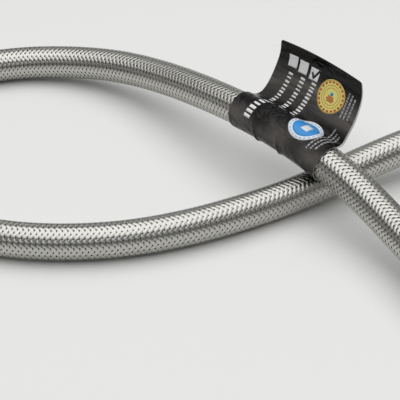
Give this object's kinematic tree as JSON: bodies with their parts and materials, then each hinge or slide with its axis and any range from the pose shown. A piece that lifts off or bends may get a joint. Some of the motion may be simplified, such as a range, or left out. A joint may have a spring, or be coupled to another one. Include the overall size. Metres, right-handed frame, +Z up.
{
  "type": "flexible water supply hose",
  "caption": "Steel-braided flexible hose in one loop, with a crimped ferrule and a free-turning hexagon nut at each end and a wrapped size label with a free flap.",
  "frame": {"origin": "on the surface that the hose lies on, under the middle of its bounding box", "axes": "+X out along end B's nut, -Y out along end A's nut, +Z up from the surface"},
  "size_m": [0.2228, 0.2312, 0.0452],
  "materials": {
    "steel_braid": "bright woven wire",
    "liner_rubber": "smooth",
    "brass": "turned",
    "pressed_steel": "pressed, bright",
    "plated_nut": "nickel plate",
    "washer_rubber": "moulded, matt",
    "black_film": "satin film",
    "gold_film": "satin foil",
    "blue_film": "satin film"
  },
  "bodies": {
    "hose": {"braid_sleeve": "steel_braid", "liner_tube": "liner_rubber", "nipple_a": "brass", "nipple_b": "brass", "crimp_ferrule_a": "pressed_steel", "crimp_ferrule_b": "pressed_steel", "sealing_washer_a": "washer_rubber", "sealing_washer_b": "washer_rubber", "size_label": "black_film", "seal_sticker": "gold_film", "badge_sticker": "blue_film"},
    "nut_a": {"swivel_nut_a": "plated_nut"},
    "nut_b": {"swivel_nut_b": "plated_nut"}
  },
  "joints": [
    {"name": "nut_a_swivel", "type": "hinge", "parent": "hose", "child": "nut_a", "pos_m": [0.0275, -0.11, 0.012], "axis": [0, -1, 0], "continuous": true},
    {"name": "nut_b_swivel", "type": "hinge", "parent": "hose", "child": "nut_b", "pos_m": [0.1055, -0.0165, 0.012], "axis": [1, 0, 0], "continuous": true}
  ]
}
